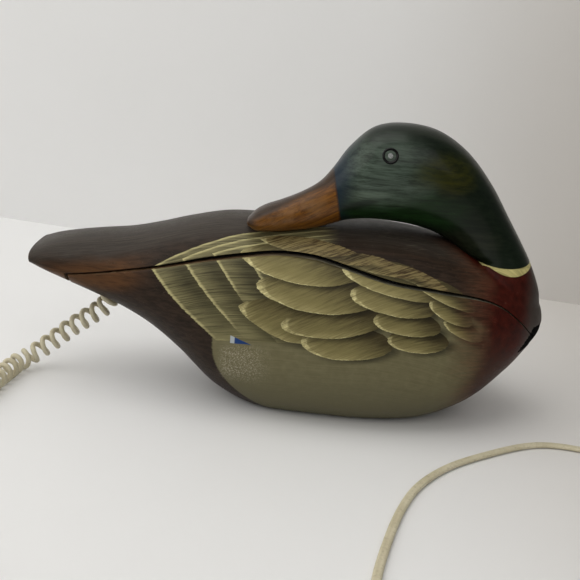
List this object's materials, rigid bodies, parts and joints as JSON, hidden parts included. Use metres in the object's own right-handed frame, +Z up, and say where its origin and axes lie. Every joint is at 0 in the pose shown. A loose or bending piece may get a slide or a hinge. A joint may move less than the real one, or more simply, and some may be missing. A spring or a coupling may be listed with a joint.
{
  "type": "novelty duck telephone",
  "caption": "Telephone in the form of a painted wooden duck decoy: the upper half with the head lifts off a cradle base as the handset, with curly and flat cords.",
  "frame": {"origin": "on the table, under the middle of the duck without its cords", "axes": "+X towards the breast, tail at -X, +Y to the duck's far side in the main view, +Z up"},
  "size_m": [0.4719, 0.3607, 0.193],
  "materials": {
    "painted_olive_wood": "satin hand-painted",
    "painted_dark_wood": "satin hand-painted",
    "gloss_green_head": "gloss varnish",
    "varnished_bill": "gloss varnish",
    "grey_eye": "gloss",
    "black_plastic": "matte",
    "ivory_keycap": "matte",
    "circuit_board": "matte",
    "zinc_steel": "zinc",
    "cast_iron": "rough",
    "black_rubber": "matte",
    "beige_cord": "matte",
    "clear_plug": "gloss"
  },
  "bodies": {
    "base": {"base_hull": "painted_olive_wood", "base_tray": "black_plastic", "base_bottom_plate": "black_plastic", "base_ballast": "cast_iron", "base_screw_1": "zinc_steel", "base_screw_2": "zinc_steel", "base_screw_3": "zinc_steel", "base_screw_4": "zinc_steel", "foot_1": "black_rubber", "foot_2": "black_rubber", "foot_3": "black_rubber", "foot_4": "black_rubber", "curly_cord": "beige_cord", "curly_cord_plug": "clear_plug", "coupler": "ivory_keycap", "line_cord_plug": "clear_plug", "line_cord": "beige_cord", "line_cord_coil": "beige_cord", "line_cord_end": "beige_cord", "wall_plug": "clear_plug"},
    "handset": {"handset_shell": "painted_dark_wood", "head": "gloss_green_head", "neck_bolt": "zinc_steel", "bill": "varnished_bill", "eye_left": "grey_eye", "eye_right": "grey_eye", "eye_ring_left": "black_plastic", "eye_ring_right": "black_plastic", "handset_plate": "black_plastic", "circuit_board": "circuit_board", "keypad_mat": "black_rubber", "receiver_capsule": "black_plastic", "microphone_capsule": "zinc_steel", "ringer_speaker": "black_plastic", "hook_switch": "black_plastic", "handset_jack": "black_plastic", "plate_screw_1": "zinc_steel", "plate_screw_2": "zinc_steel", "plate_screw_3": "zinc_steel", "plate_screw_4": "zinc_steel", "handset_plug": "clear_plug"},
    "key_1": {"key_1": "ivory_keycap"},
    "key_2": {"key_2": "ivory_keycap"},
    "key_3": {"key_3": "ivory_keycap"},
    "key_4": {"key_4": "ivory_keycap"},
    "key_5": {"key_5": "ivory_keycap"},
    "key_6": {"key_6": "ivory_keycap"},
    "key_7": {"key_7": "ivory_keycap"},
    "key_8": {"key_8": "ivory_keycap"},
    "key_9": {"key_9": "ivory_keycap"},
    "key_star": {"key_star": "ivory_keycap"},
    "key_0": {"key_0": "ivory_keycap"},
    "key_hash": {"key_hash": "ivory_keycap"},
    "hook_plunger": {"hook_plunger": "ivory_keycap"},
    "ringer_switch": {"ringer_switch": "ivory_keycap"},
    "tone_pulse_switch": {"tone_pulse_switch": "ivory_keycap"}
  },
  "joints": [
    {"name": "handset_lift", "type": "slide", "parent": "base", "child": "handset", "axis": [0, 0, 1], "range_m": [0, 0.25]},
    {"name": "key_1_press", "type": "slide", "parent": "handset", "child": "key_1", "axis": [0, 0, 1], "range_m": [0, 0.0015], "stiffness_N_per_m": 200},
    {"name": "key_2_press", "type": "slide", "parent": "handset", "child": "key_2", "axis": [0, 0, 1], "range_m": [0, 0.0015], "stiffness_N_per_m": 200},
    {"name": "key_3_press", "type": "slide", "parent": "handset", "child": "key_3", "axis": [0, 0, 1], "range_m": [0, 0.0015], "stiffness_N_per_m": 200},
    {"name": "key_4_press", "type": "slide", "parent": "handset", "child": "key_4", "axis": [0, 0, 1], "range_m": [0, 0.0015], "stiffness_N_per_m": 200},
    {"name": "key_5_press", "type": "slide", "parent": "handset", "child": "key_5", "axis": [0, 0, 1], "range_m": [0, 0.0015], "stiffness_N_per_m": 200},
    {"name": "key_6_press", "type": "slide", "parent": "handset", "child": "key_6", "axis": [0, 0, 1], "range_m": [0, 0.0015], "stiffness_N_per_m": 200},
    {"name": "key_7_press", "type": "slide", "parent": "handset", "child": "key_7", "axis": [0, 0, 1], "range_m": [0, 0.0015], "stiffness_N_per_m": 200},
    {"name": "key_8_press", "type": "slide", "parent": "handset", "child": "key_8", "axis": [0, 0, 1], "range_m": [0, 0.0015], "stiffness_N_per_m": 200},
    {"name": "key_9_press", "type": "slide", "parent": "handset", "child": "key_9", "axis": [0, 0, 1], "range_m": [0, 0.0015], "stiffness_N_per_m": 200},
    {"name": "key_star_press", "type": "slide", "parent": "handset", "child": "key_star", "axis": [0, 0, 1], "range_m": [0, 0.0015], "stiffness_N_per_m": 200},
    {"name": "key_0_press", "type": "slide", "parent": "handset", "child": "key_0", "axis": [0, 0, 1], "range_m": [0, 0.0015], "stiffness_N_per_m": 200},
    {"name": "key_hash_press", "type": "slide", "parent": "handset", "child": "key_hash", "axis": [0, 0, 1], "range_m": [0, 0.0015], "stiffness_N_per_m": 200},
    {"name": "hook_press", "type": "slide", "parent": "handset", "child": "hook_plunger", "axis": [0, 0, 1], "range_m": [0, 0.003], "stiffness_N_per_m": 150},
    {"name": "ringer_switch_slide", "type": "slide", "parent": "handset", "child": "ringer_switch", "axis": [1, 0, 0], "range_m": [0, 0.004]},
    {"name": "tone_pulse_switch_slide", "type": "slide", "parent": "handset", "child": "tone_pulse_switch", "axis": [1, 0, 0], "range_m": [0, 0.004]}
  ]
}
